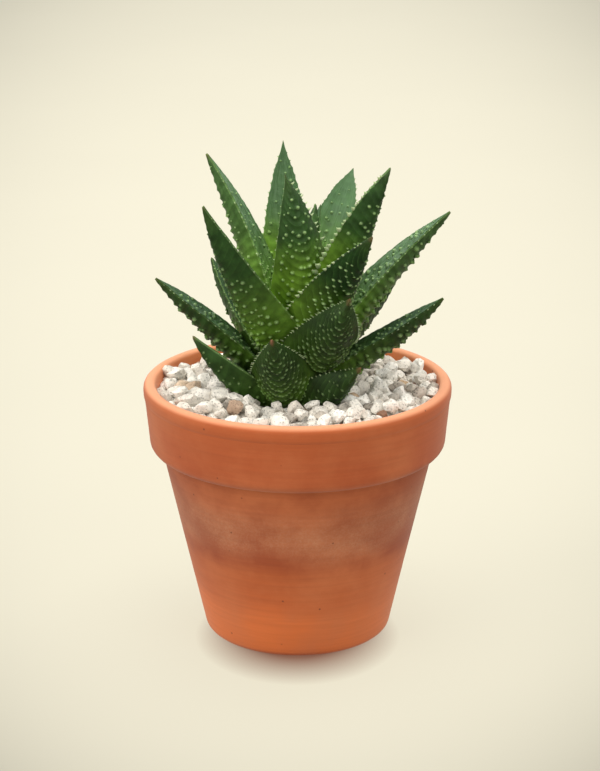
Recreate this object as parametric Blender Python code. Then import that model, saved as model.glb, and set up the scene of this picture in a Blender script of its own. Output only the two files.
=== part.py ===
# Tiger tooth aloe in a terracotta pot, with a gravel top dressing
# Metres, +Z up. The origin is the centre of the pot's foot, on the surface it stands on.

import math
import random

import bmesh
import bpy
from mathutils import Matrix, Vector
from mathutils.bvhtree import BVHTree

# Pot, a pressed clay pot of the size sold as four inch
RIM_RADIUS = 0.0540
RIM_LOWER_RADIUS = 0.0515
RIM_BAND = 0.0234
POT_HEIGHT = 0.0913
SHOULDER_RADIUS = 0.0474
FOOT_RADIUS = 0.0330
WALL = 0.0045
FLOOR = 0.0060
DRAIN_RADIUS = 0.0065
LIP_ROUND = 0.0029
INNER_LIP_ROUND = 0.0013
BAND_ROUND = 0.0022
FOOT_ROUND = 0.0029
POT_SIDES = 36

# Fillings
SEAT_GAP = 0.0003
SOIL_TOP = 0.0703
GRAVEL_TOP = 0.0842
DISH_DEPTH = 0.0034
DISH_OUTER_RADIUS = 0.0235
DISH_INNER_RADIUS = 0.0170
FILL_SIDES = 28
PEBBLE_SIZE = 0.0090
PEBBLE_PITCH = 0.0078
PEBBLE_RISE = 0.0010
PEBBLE_OFF_WALL = 0.57
PEBBLE_CLEAR = 0.0054
PEBBLE_SINKS = (0.0, 0.0012, 0.0024, 0.0034)

# Stem
STEM_FOOT_Z = 0.0480
STEM_RADIUS = 0.0056
STEM_TOP_RADIUS = 0.0022
STEM_TAPER_Z = 0.0863
STEM_TOP_Z = 0.1223
STEM_SIDES = 12

# Leaves: what all of them share
FIRST_SEAT_Z = 0.0868
SEAT_PITCH = 0.00120
LEAF_ROW = 0.0045
LEAF_COLUMNS = 10
LEAF_DEPTH_SHARE = 0.40
SEAT_SHARE = 0.70
WIDEST_AT = 0.18
DEEPEST_AT = 0.25
WIDTH_TAPER = 1.7
DEPTH_TAPER = 2.2
MARGIN_THICKNESS = 0.0008
CHANNEL_SHARE = 0.14
TOOTH_LENGTH = 0.0013
TOOTH_LEAN = 0.35
TIP_TOOTH_SHARE = 0.55
BUMP_HEIGHT = 0.0006
MARGIN_COLUMNS = (4, 9)

# Each leaf from the lowest seat to the highest. Directions are in degrees round the stem,
# where 0 is +X and 270 is the front.
# name, direction of the seat, angle above the horizon at the seat, how far along the leaf
# the bend lies, direction of the tip, reach and height of the tip, width, twist
LEAVES = (
    ("leaf_left_low", 214, 23, 0.47, 206, 0.0395, 0.1121, 0.0189, -17),
    ("leaf_back_low", 100, 30, 0.50, 98, 0.0410, 0.1120, 0.0220, 0),
    ("leaf_front_low_right", 294, 10, 0.46, 312, 0.0322, 0.1029, 0.0245, 33),
    ("leaf_front_low_left", 254, 36, 0.59, 255, 0.0336, 0.1153, 0.0265, -20),
    ("leaf_back_low_right", 66, 32, 0.50, 62, 0.0420, 0.1130, 0.0215, 0),
    ("leaf_left_long", 193, 45, 0.50, 194, 0.0494, 0.1307, 0.0194, 14),
    ("leaf_right_low", 346, 32, 0.55, 340, 0.0521, 0.1254, 0.0187, -11),
    ("leaf_back_low_left", 134, 34, 0.50, 138, 0.0345, 0.1130, 0.0215, 0),
    ("leaf_right_behind", 22, 43, 0.49, 22, 0.0375, 0.1237, 0.0180, -1),
    ("leaf_back_left", 152, 42, 0.51, 148, 0.0357, 0.1299, 0.0190, -2),
    ("leaf_back_right", 42, 40, 0.50, 38, 0.0370, 0.1220, 0.0215, 0),
    ("leaf_back_mid_right", 78, 50, 0.50, 74, 0.0400, 0.1370, 0.0235, 0),
    ("leaf_right_long", 8, 55, 0.51, 358, 0.0518, 0.1513, 0.0220, -2),
    ("leaf_front_right", 296, 28, 0.62, 296, 0.0395, 0.1303, 0.0270, 41),
    ("leaf_left_front", 235, 52, 0.51, 225, 0.0436, 0.1602, 0.0249, 28),
    ("leaf_back_mid", 120, 52, 0.50, 118, 0.0380, 0.1380, 0.0235, 0),
    ("leaf_right_front", 297, 57, 0.60, 306, 0.0416, 0.1507, 0.0275, -11),
    ("leaf_upper_left", 170, 80, 0.51, 180, 0.0307, 0.1710, 0.0218, -4),
    ("leaf_upper_back", 76, 66, 0.52, 78, 0.0270, 0.1460, 0.0220, 0),
    ("leaf_upper_right", 328, 67, 0.56, 330, 0.0355, 0.1702, 0.0228, 23),
    ("leaf_upper_front", 283, 73, 0.53, 253, 0.0145, 0.1672, 0.0232, 0),
    ("leaf_upper_back_left", 144, 66, 0.52, 142, 0.0270, 0.1480, 0.0215, 0),
    ("leaf_upper_back_right", 49, 64, 0.68, 54, 0.0334, 0.1600, 0.0222, -23),
    ("leaf_tall_back", 104, 59, 0.55, 103, 0.0221, 0.1711, 0.0214, 4),
    ("leaf_heart_pale", 60, 82, 0.50, 30, 0.0092, 0.1525, 0.0095, 0),
    ("leaf_heart", 330, 84, 0.57, 340, 0.0064, 0.1543, 0.0098, 8),
)

CLAY = (0.72, 0.29, 0.13)
SOIL_BROWN = (0.055, 0.035, 0.022)
PUMICE = (0.72, 0.69, 0.64)
STEM_GREEN = (0.30, 0.38, 0.14)
OUTER_LEAF_GREEN = (0.045, 0.130, 0.040)
INNER_LEAF_GREEN = (0.110, 0.240, 0.035)


def clear_scene():
    for obj in list(bpy.data.objects):
        bpy.data.objects.remove(obj, do_unlink=True)


def make_material(name, colour, roughness):
    material = bpy.data.materials.new(name)
    material.use_nodes = True
    shader = material.node_tree.nodes["Principled BSDF"]
    shader.inputs["Base Color"].default_value = (*colour, 1.0)
    shader.inputs["Roughness"].default_value = roughness
    shader.inputs["Metallic"].default_value = 0.0
    return material


def object_from(bm, name, material=None):
    mesh = bpy.data.meshes.new(name)
    bm.to_mesh(mesh)
    bm.free()
    obj = bpy.data.objects.new(name, mesh)
    bpy.context.scene.collection.objects.link(obj)
    if material:
        mesh.materials.append(material)
    return obj


def arc(centre_r, centre_z, radius, start, end, steps):
    # Points of a rounded corner in the (radius, height) plane, angles in degrees
    points = []
    for step in range(steps + 1):
        angle = math.radians(start + (end - start) * step / steps)
        points.append((centre_r + radius * math.cos(angle), centre_z + radius * math.sin(angle)))
    return points


def turned(profile, sides, closed=True):
    # A body of revolution from (radius, height) points, spun about the Z axis
    bm = bmesh.new()
    corners = [bm.verts.new((radius, 0.0, height)) for radius, height in profile]
    edges = [bm.edges.new(pair) for pair in zip(corners, corners[1:])]
    if closed:
        edges.append(bm.edges.new((corners[-1], corners[0])))
    bmesh.ops.spin(
        bm, geom=corners + edges, cent=(0, 0, 0), axis=(0, 0, 1), angle=math.tau, steps=sides,
        use_merge=True,
    )
    bmesh.ops.remove_doubles(bm, verts=bm.verts, dist=1e-6)
    bmesh.ops.recalc_face_normals(bm, faces=bm.faces)
    return bm


# Pot

def inner_profile():
    # Inside of the pot from the floor to the lip: a cone, a step out under the rim band,
    # then a nearly upright wall
    band_z = POT_HEIGHT - RIM_BAND
    return (
        (FOOT_RADIUS - WALL, FLOOR),
        (SHOULDER_RADIUS - WALL, band_z - 0.002),
        (RIM_LOWER_RADIUS - WALL, band_z + 0.004),
        (RIM_RADIUS - WALL, POT_HEIGHT),
    )


def inner_wall_radius(height):
    points = inner_profile()
    for (low_r, low_z), (high_r, high_z) in zip(points, points[1:]):
        if height <= high_z:
            share = (height - low_z) / (high_z - low_z)
            return low_r + (high_r - low_r) * share
    return points[-1][0]


def build_pot(material):
    band_z = POT_HEIGHT - RIM_BAND
    inner_lip = RIM_RADIUS - WALL + INNER_LIP_ROUND
    profile = [(DRAIN_RADIUS, 0.0)]
    profile += arc(FOOT_RADIUS - FOOT_ROUND, FOOT_ROUND, FOOT_ROUND, -90, -10, 2)
    profile += [(SHOULDER_RADIUS, band_z - 0.0010)]
    profile += arc(RIM_LOWER_RADIUS - BAND_ROUND, band_z + BAND_ROUND, BAND_ROUND, -60, 0, 2)
    profile += arc(RIM_RADIUS - LIP_ROUND, POT_HEIGHT - LIP_ROUND, LIP_ROUND, 0, 90, 2)
    profile += arc(inner_lip, POT_HEIGHT - INNER_LIP_ROUND, INNER_LIP_ROUND, 90, 180, 2)
    profile += list(reversed(inner_profile()[:3])) + [(DRAIN_RADIUS, FLOOR)]
    bm = turned(profile, POT_SIDES)
    return object_from(bm, "pot", material)


# Soil and gravel

def filling_side(bottom, top):
    # The side of a plug that fills the pot between two heights, clear of the wall
    heights = [bottom, *(z for _, z in inner_profile() if bottom < z < top), top]
    return [(inner_wall_radius(z) - 2 * SEAT_GAP, z) for z in heights]


def build_soil(material):
    # The stem stands in a plain blind hole
    bottom = FLOOR + SEAT_GAP
    hole_radius = STEM_RADIUS + SEAT_GAP
    hole_floor = STEM_FOOT_Z - SEAT_GAP
    profile = [
        (0.0, bottom),
        *filling_side(bottom, SOIL_TOP),
        (hole_radius, SOIL_TOP),
        (hole_radius, hole_floor),
        (0.0, hole_floor),
    ]
    bm = turned(profile, FILL_SIDES, closed=False)
    return object_from(bm, "soil", material)


def gravel_height(radius):
    # The gravel is dished round the stem, where the lowest leaves lie
    share = (DISH_OUTER_RADIUS - radius) / (DISH_OUTER_RADIUS - DISH_INNER_RADIUS)
    return GRAVEL_TOP - DISH_DEPTH * min(1.0, max(0.0, share))


def pebble_places():
    # Rings of places round the stem, each shifted against the last
    places = []
    outer = inner_wall_radius(GRAVEL_TOP) - PEBBLE_SIZE * PEBBLE_OFF_WALL
    rings = int((outer - STEM_RADIUS) / PEBBLE_PITCH)
    for ring in range(rings):
        radius = outer - ring * PEBBLE_PITCH
        count = int(math.tau * radius / PEBBLE_PITCH)
        for place in range(count):
            angle = math.tau * (place + 0.5 * (ring % 2)) / count
            places.append((radius, angle))
    return places


def pebble(centre, chance):
    bm = bmesh.new()
    bmesh.ops.create_icosphere(bm, subdivisions=1, radius=PEBBLE_SIZE / 2)
    for vert in bm.verts:
        vert.co *= chance.uniform(0.82, 1.08)
    bmesh.ops.scale(bm, verts=bm.verts, vec=(1.05, 0.92, 0.85))
    turn = Matrix.Rotation(chance.uniform(0, math.tau), 4, "Z") @ Matrix.Rotation(
        chance.uniform(-0.5, 0.5), 4, "X"
    )
    bmesh.ops.transform(bm, matrix=Matrix.Translation(centre) @ turn, verts=bm.verts)
    return bm


def join_by_boolean(target, parts, operation, solver):
    # One Boolean against a whole collection, applied, and the collection's objects removed
    collection = bpy.data.collections.new(target.name + "_boolean")
    bpy.context.scene.collection.children.link(collection)
    for part in parts:
        for owner in list(part.users_collection):
            owner.objects.unlink(part)
        collection.objects.link(part)
    modifier = target.modifiers.new("Boolean", "BOOLEAN")
    modifier.operation = operation
    modifier.operand_type = "COLLECTION"
    modifier.collection = collection
    modifier.solver = solver
    bpy.context.view_layer.update()
    graph = bpy.context.evaluated_depsgraph_get()
    mesh = bpy.data.meshes.new_from_object(target.evaluated_get(graph))
    target.modifiers.clear()
    old = target.data
    target.data = mesh
    bpy.data.meshes.remove(old)
    for part in list(parts):
        bpy.data.objects.remove(part, do_unlink=True)
    bpy.data.collections.remove(collection)


def keep_largest_body(obj):
    # A cut can leave a loose scrap of a tooth, which is dropped
    bm = bmesh.new()
    bm.from_mesh(obj.data)
    bmesh.ops.remove_doubles(bm, verts=bm.verts, dist=1e-6)
    bmesh.ops.dissolve_degenerate(bm, edges=bm.edges, dist=1e-6)
    bodies = []
    unseen = set(bm.verts)
    while unseen:
        body = [unseen.pop()]
        for vert in body:
            touching = {edge.other_vert(vert) for edge in vert.link_edges} & unseen
            unseen -= touching
            body += touching
        bodies.append(body)
    bodies.sort(key=len)
    loose = [vert for body in bodies[:-1] for vert in body]
    bmesh.ops.delete(bm, geom=loose, context="VERTS")
    bmesh.ops.triangulate(bm, faces=bm.faces)
    bm.to_mesh(obj.data)
    bm.free()


def clear_place(across, height, plant_trees):
    # A pebble close to the plant lies deeper, and one that still meets it is left out
    for sink in PEBBLE_SINKS:
        centre = across + Vector((0, 0, height - sink))
        if all(tree.find_nearest(centre, PEBBLE_CLEAR)[0] is None for tree in plant_trees):
            return centre
    return None


def build_gravel(material, plant_trees):
    hole_radius = STEM_RADIUS + SEAT_GAP
    bottom = SOIL_TOP + SEAT_GAP
    profile = [
        (hole_radius, bottom),
        *filling_side(bottom, GRAVEL_TOP),
        (DISH_OUTER_RADIUS, GRAVEL_TOP),
        (DISH_INNER_RADIUS, gravel_height(DISH_INNER_RADIUS)),
        (hole_radius, gravel_height(hole_radius)),
    ]
    bed = object_from(turned(profile, FILL_SIDES), "gravel", material)
    chance = random.Random(7)
    pebbles = []
    for radius, angle in pebble_places():
        across = Vector((radius * math.cos(angle), radius * math.sin(angle), 0))
        height = gravel_height(radius) + chance.uniform(0.2, 1.4) * PEBBLE_RISE
        centre = clear_place(across, height, plant_trees)
        if centre:
            pebbles.append(object_from(pebble(centre, chance), f"pebble_{len(pebbles)}"))
    join_by_boolean(bed, pebbles, "UNION", "EXACT")
    keep_largest_body(bed)
    return bed


# Stem

def stem_radius(height):
    share = min(1.0, max(0.0, (height - STEM_TAPER_Z) / (STEM_TOP_Z - STEM_TAPER_Z)))
    return STEM_RADIUS + (STEM_TOP_RADIUS - STEM_RADIUS) * share


def build_stem(material):
    profile = [
        (0.0, STEM_FOOT_Z),
        (STEM_RADIUS * 0.8, STEM_FOOT_Z),
        (STEM_RADIUS, STEM_FOOT_Z + 0.003),
        (STEM_RADIUS, STEM_TAPER_Z),
        (STEM_TOP_RADIUS, STEM_TOP_Z),
        (0.0, STEM_TOP_Z + 0.001),
    ]
    return object_from(turned(profile, STEM_SIDES, closed=False), "stem", material)


# Leaves

def leaf_seat(order):
    return FIRST_SEAT_Z + order * SEAT_PITCH


def direction_of(degrees):
    return Vector((math.cos(math.radians(degrees)), math.sin(math.radians(degrees)), 0))


def leaf_spine(leaf, order):
    # A quadratic curve from the stem's face to the tip: its three control points
    _, seat_way, lift, bend_at, tip_way, reach, height, _, _ = leaf
    seat_z = leaf_seat(order)
    outward = direction_of(seat_way)
    start = outward * (stem_radius(seat_z) + SEAT_GAP) + Vector((0, 0, seat_z))
    tip = direction_of(tip_way) * reach + Vector((0, 0, height))
    climb = math.radians(lift)
    arm = (tip - start).length * bend_at
    bend = start + (outward * math.cos(climb) + Vector((0, 0, math.sin(climb)))) * arm
    return start, bend, tip


def spine_point(spine, along):
    start, bend, tip = spine
    return start * (1 - along) ** 2 + bend * (2 * along * (1 - along)) + tip * along**2


def spine_direction(spine, along):
    start, bend, tip = spine
    return ((bend - start) * (1 - along) + (tip - bend) * along).normalized()


def width_share(along):
    # A narrowed seat, broad near it, then an almost straight taper to the point
    rise = min(1.0, along / WIDEST_AT)
    smooth = rise * rise * (3 - 2 * rise)
    return (SEAT_SHARE + (1 - SEAT_SHARE) * smooth) * (1 - along**WIDTH_TAPER)


def depth_share(along):
    swell = SEAT_SHARE + (1 - SEAT_SHARE) * min(1.0, along / DEEPEST_AT)
    return swell * (1 - along**DEPTH_TAPER) ** 0.9


def leaf_point(leaf, spine, along, around):
    # around runs 0 to 1 round the section: upper face, margin, lower face, margin
    if along >= 1.0:
        return spine[2].copy()
    seat_way, width, twist = leaf[1], leaf[7], leaf[8]
    direction = spine_direction(spine, along)
    level = Vector((math.sin(math.radians(seat_way)), -math.cos(math.radians(seat_way)), 0))
    level = (level - direction * level.dot(direction)).normalized()
    turn = math.radians(twist * along)
    sideways = level * math.cos(turn) + level.cross(direction) * math.sin(turn)
    inward = sideways.cross(direction)
    upper = around <= 0.4 or around >= 1.0
    across = 1 - 5 * (around % 1.0) if upper else -1 + 5 * (around - 0.5)
    across = max(-1.0, min(1.0, across))
    margin = MARGIN_THICKNESS / 2
    if upper:
        rise = margin - width * CHANNEL_SHARE * (1 - along) * (1 - across**2)
    else:
        depth = width * LEAF_DEPTH_SHARE * depth_share(along)
        rise = -margin - depth * (1 - across**2)
    half = width / 2 * width_share(along)
    return spine_point(spine, along) + sideways * (across * half) + inward * rise


def leaf_bmesh(leaf, order, grow=0.0):
    spine = leaf_spine(leaf, order)
    length = (spine[2] - spine[0]).length
    rows = max(6, round(length / LEAF_ROW))
    bm = bmesh.new()
    bmesh.ops.create_grid(bm, x_segments=rows, y_segments=LEAF_COLUMNS, size=0.5)
    teeth, bumps = [], []
    for face in bm.faces:
        middle = face.calc_center_median()
        row = int((middle.x + 0.5) * rows)
        column = int((middle.y + 0.5) * LEAF_COLUMNS)
        if row == rows - 1:
            continue
        if column in MARGIN_COLUMNS:
            if row % 2 == 0 and row > 0:
                teeth.append(face)
        elif column > MARGIN_COLUMNS[0]:
            if (row + column) % 2 == 0 and row > 1:
                bumps.append(face)
        elif (row + column) % 4 == 0 and row > 3:
            bumps.append(face)
    for vert in bm.verts:
        along = vert.co.x + 0.5
        around = round((vert.co.y + 0.5) * LEAF_COLUMNS) / LEAF_COLUMNS
        vert.co = leaf_point(leaf, spine, along, around)
    bm.normal_update()
    raised = [(face, TOOTH_LENGTH, True) for face in teeth]
    raised += [(face, BUMP_HEIGHT, False) for face in bumps]
    for face, height, is_tooth in raised:
        outward = face.normal.copy()
        point = bmesh.ops.poke(bm, faces=[face])["verts"][0]
        if is_tooth:
            along = min(1.0, (point.co - spine[0]).length / length)
            outward = (outward + spine_direction(spine, along) * TOOTH_LEAN).normalized()
            height *= 1 - (1 - TIP_TOOTH_SHARE) * along
        point.co += outward * height
    bmesh.ops.remove_doubles(bm, verts=bm.verts, dist=1e-5)
    bmesh.ops.holes_fill(bm, edges=[edge for edge in bm.edges if edge.is_boundary])
    bmesh.ops.recalc_face_normals(bm, faces=bm.faces)
    bmesh.ops.triangulate(bm, faces=bm.faces)
    if grow:
        bm.normal_update()
        moves = [(vert, vert.normal.copy()) for vert in bm.verts]
        for vert, normal in moves:
            vert.co += normal * grow
    return bm


def tree_of(obj):
    bm = bmesh.new()
    bm.from_mesh(obj.data)
    tree = BVHTree.FromBMesh(bm)
    bm.free()
    return tree


def build_leaves(outer_material, inner_material):
    leaves = []
    for order, leaf in enumerate(LEAVES):
        young = order >= len(LEAVES) // 2
        material = inner_material if young else outer_material
        leaves.append(object_from(leaf_bmesh(leaf, order), leaf[0], material))
    # An older leaf's base is hollowed where the younger leaves above it press in
    grown = [
        object_from(leaf_bmesh(leaf, order, SEAT_GAP), leaf[0] + "_room")
        for order, leaf in enumerate(LEAVES)
    ]
    grown_trees = [tree_of(obj) for obj in grown]
    for order, leaf in enumerate(leaves):
        tree = tree_of(leaf)
        cutters = []
        for younger in range(order + 1, len(leaves)):
            if tree.overlap(grown_trees[younger]):
                cutter = grown[younger].copy()
                cutter.data = grown[younger].data.copy()
                bpy.context.scene.collection.objects.link(cutter)
                cutters.append(cutter)
        if cutters:
            join_by_boolean(leaf, cutters, "DIFFERENCE", "EXACT")
            keep_largest_body(leaf)
    for obj in grown:
        bpy.data.objects.remove(obj, do_unlink=True)
    return leaves


def main():
    clear_scene()
    clay = make_material("clay", CLAY, 0.85)
    soil = make_material("soil", SOIL_BROWN, 0.95)
    pumice = make_material("pumice", PUMICE, 0.9)
    stem_green = make_material("stem_green", STEM_GREEN, 0.6)
    outer_green = make_material("outer_leaf_green", OUTER_LEAF_GREEN, 0.45)
    inner_green = make_material("inner_leaf_green", INNER_LEAF_GREEN, 0.45)
    build_pot(clay)
    build_soil(soil)
    stem = build_stem(stem_green)
    leaves = build_leaves(outer_green, inner_green)
    build_gravel(pumice, [tree_of(obj) for obj in [stem, *leaves]])
    for obj in bpy.context.scene.objects:
        obj.data.set_sharp_from_angle(angle=math.radians(35))


main()
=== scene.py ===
import math
import random
from functools import partial

import bmesh
import bpy
import numpy as np
from mathutils import Matrix, Vector, noise
from mathutils.bvhtree import BVHTree


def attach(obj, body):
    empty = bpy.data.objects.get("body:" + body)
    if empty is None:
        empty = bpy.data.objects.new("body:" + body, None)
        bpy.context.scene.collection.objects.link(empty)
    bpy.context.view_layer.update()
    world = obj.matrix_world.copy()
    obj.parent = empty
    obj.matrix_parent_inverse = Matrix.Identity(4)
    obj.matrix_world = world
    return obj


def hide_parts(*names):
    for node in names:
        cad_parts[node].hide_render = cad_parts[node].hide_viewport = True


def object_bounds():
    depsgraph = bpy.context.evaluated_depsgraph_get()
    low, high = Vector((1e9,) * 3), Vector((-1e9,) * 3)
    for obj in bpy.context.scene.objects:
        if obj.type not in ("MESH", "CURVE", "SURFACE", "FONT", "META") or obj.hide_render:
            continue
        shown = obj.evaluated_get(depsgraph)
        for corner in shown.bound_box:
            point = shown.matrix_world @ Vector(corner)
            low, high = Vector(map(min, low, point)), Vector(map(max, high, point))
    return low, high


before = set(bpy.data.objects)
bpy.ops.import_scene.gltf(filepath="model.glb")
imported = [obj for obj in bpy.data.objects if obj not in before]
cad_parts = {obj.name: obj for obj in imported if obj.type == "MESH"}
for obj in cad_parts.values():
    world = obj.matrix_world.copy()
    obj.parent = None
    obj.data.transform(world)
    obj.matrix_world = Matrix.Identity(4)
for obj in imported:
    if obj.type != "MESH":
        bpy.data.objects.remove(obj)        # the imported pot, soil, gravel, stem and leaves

cadLow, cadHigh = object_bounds()
scene = bpy.context.scene
mm = 0.001

# settings that many shader nodes share
asColour = {"data_type": "RGBA"}
asFilter = {"data_type": "RGBA", "blend_type": "MULTIPLY"}
asProduct = {"operation": "MULTIPLY"}
asSmooth = {"interpolation_type": "SMOOTHSTEP"}


# shared helpers

def fromHex(text):
    # an sRGB hex value as the linear colour that a shader wants
    parts = [int(text[i:i + 2], 16) / 255 for i in (1, 3, 5)]
    return tuple(p / 12.92 if p <= 0.04045 else ((p + 0.055) / 1.055) ** 2.4 for p in parts) + (1.0,)


def limited(value):
    return min(1, max(0, value))


def scaleOf(size):
    # the scale of a texture whose pattern measures this many mm
    return 1 / (size * mm)


def fillInputs(node, inputs):
    # a value or a hex colour is set on the socket; a node or one of its outputs is linked to it
    for key, value in inputs.items():
        if isinstance(value, bpy.types.Node):
            value = next(output for output in value.outputs if output.enabled)
        if isinstance(value, bpy.types.NodeSocket):
            node.id_data.links.new(value, node.inputs[key])
        else:
            node.inputs[key].default_value = fromHex(value) if isinstance(value, str) else value


def addNode(tree, kind, inputs, stops=(), **settings):
    # Mix takes its share at 0 and its colours at 6 and 7, MapRange its value at 0, the range that it
    # comes from at 1 and 2 and the one that it goes to at 3 and 4; stops fills a colour ramp
    node = tree.nodes.new("ShaderNode" + kind)
    for name, value in settings.items():
        setattr(node, name, value)
    fillInputs(node, inputs)
    for count, (place, colour) in enumerate(stops):
        ramp = node.color_ramp.elements
        stop = ramp[count] if count < 2 else ramp.new(place)
        stop.position = place
        stop.color = fromHex(colour)
    return node


def startMaterial(name, patterns):
    # the new material, its shader, a way to add nodes to it, the place on the piece and its noise
    # textures, each given by its size in mm, its detail and its roughness
    material = bpy.data.materials.new(name)
    material.use_nodes = True
    tree = material.node_tree
    add = partial(addNode, tree)
    place = add("TexCoord", {}).outputs["Object"]
    noises = {
        key: add("TexNoise", {"Vector": place, "Scale": scaleOf(size), "Detail": detail, "Roughness": rough})
        for key, (size, detail, rough) in patterns.items()}
    return material, tree.nodes["Principled BSDF"], add, place, noises


def layCoats(add, colour, coats):
    # coats of (factors, colour, settings) laid over a colour, each by the product of its factors
    for factors, coat, settings in coats:
        share = factors[0]
        for factor in factors[1:]:
            share = add("Math", {0: share, 1: factor}, **asProduct)
        colour = add("Mix", {0: share, 6: colour, 7: coat}, **settings)
    return colour


def meshFrom(bm, name):
    mesh = bpy.data.meshes.new(name)
    bm.to_mesh(mesh)
    bm.free()
    return mesh


def placeObject(name, data):
    made = bpy.data.objects.new(name, data)
    scene.collection.objects.link(made)
    return made


def finishPiece(bm, name, material, slotName, nodes, sharpAngle=180):
    mesh = meshFrom(bm, name)
    mesh.materials.append(material)
    mesh.shade_smooth()
    if sharpAngle < 180:
        mesh.set_sharp_from_angle(angle=math.radians(sharpAngle))
    piece = placeObject(name, mesh)
    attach(piece, "root")
    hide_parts(*nodes)


def turnedForm(corners, steps, pitch):
    # (radius, height, rounding) corners in mm: each is rounded, the outline cut to the pitch and spun
    bm = bmesh.new()
    verts = [bm.verts.new((radius * mm, 0, height * mm)) for radius, height, _ in corners]
    for first, second in zip(verts, verts[1:] + verts[:1]):
        if first.co.x > 0 or second.co.x > 0:
            bm.edges.new((first, second))
    for vert, (_, _, rounding) in zip(verts, corners):
        if rounding:
            bmesh.ops.bevel(
                bm, geom=[vert], offset=rounding * mm, offset_type="OFFSET", segments=5, profile=0.5,
                affect="VERTICES", material=-1,
            )
    for edge in list(bm.edges):
        cuts = int(edge.calc_length() / (pitch * mm))
        if cuts:
            bmesh.ops.subdivide_edges(bm, edges=[edge], cuts=cuts)
    outline = bm.verts[:] + bm.edges[:]
    bmesh.ops.spin(
        bm, geom=outline, axis=(0, 0, 1), cent=(0, 0, 0), angle=math.tau, steps=steps, use_merge=True,
    )
    bmesh.ops.remove_doubles(bm, verts=bm.verts, dist=1e-6)
    bmesh.ops.recalc_face_normals(bm, faces=bm.faces)
    return bm


# camera: 18 degrees above the ground, 0.8 m from the pot, as the ellipses of the rim and foot say

cameraSet = {"lens": 107.3, "shiftX": 0.0032, "rise": 18.0, "distance": 0.8, "aimHeight": 88.8 * mm}


def makeCamera(settings):
    data = bpy.data.cameras.new("photoCamera")
    data.lens = settings["lens"]
    data.sensor_width = 36
    data.shift_x = settings["shiftX"]
    camera = placeObject("photoCamera", data)
    rise = math.radians(settings["rise"])
    away = settings["distance"]
    camera.location = (0, -away * math.cos(rise), settings["aimHeight"] + away * math.sin(rise))
    camera.rotation_euler = (math.pi / 2 - rise, 0, 0)
    scene.camera = camera


makeCamera(cameraSet)
print("camera placed")


# light: a soft window on the left, weaker boxes overhead and in front, and pale surroundings

lightSet = {
    "worldColour": "#fffdf7", "worldStrength": 0.60, "aim": (0, 0, 0.09),
    # name, size in metres, watts, place, colour
    "boxes": [
        ("overhead", 1.2, 20.0, (0.10, 0.20, 1.40), "#fffdf8"),
        ("leftWindow", 1.6, 34.0, (-1.70, -0.90, 1.20), "#fffcf5"),
        ("frontSoft", 2.0, 31.0, (1.55, -1.90, 1.40), "#fffcf5"),
    ],
}


def makeLights(settings):
    world = bpy.data.worlds.new("paleRoom")
    world.use_nodes = True
    fillInputs(world.node_tree.nodes["Background"], {
        "Color": settings["worldColour"], "Strength": settings["worldStrength"]})
    scene.world = world
    for name, size, watts, place, colour in settings["boxes"]:
        data = bpy.data.lights.new(name, "AREA")
        data.size = size
        data.energy = watts
        data.color = fromHex(colour)[:3]
        lamp = placeObject(name, data)
        lamp.location = place
        towards = Vector(settings["aim"]) - lamp.location
        lamp.rotation_euler = towards.to_track_quat("-Z", "Y").to_euler()
    scene.view_settings.view_transform = "Standard"
    scene.view_settings.look = "None"


makeLights(lightSet)
print("lights placed")


# floor: matt cream paper that glows by itself, as painted light, so that the pot throws hardly any shade
# beyond its foot

floorSet = {
    "radius": 6.0, "colour": "#faf4dd", "shade": "#874a30", "reflects": 0.14, "glow": 0.74,
    "patterns": {"cloud": (167, 2.0, 0.5), "tooth": (0.6, 2.0, 0.5)},      # size in mm, detail, roughness
    # the painted pool of light: its shift and stretch, how it widens from near to far, how far it dims, and
    # the painted brightening of the far floor
    "poolShift": -0.309, "poolStretch": (3.53, 1.13, 0), "widens": 0.951, "widthHere": 0.828,
    "narrowest": 0.3, "poolPower": 4.0, "poolDims": 0.5, "paintedFarLight": (0.27, 1.45, 1.0, 1.12),
    # the painted contact shadow: half widths, shift to the front, and its fade from near to far
    "shadeHalf": (0.0342, 0.0400), "shadeFront": 0.012, "shadeFade": (0.50, 1.06, 0.90, 0.0),
}


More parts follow.
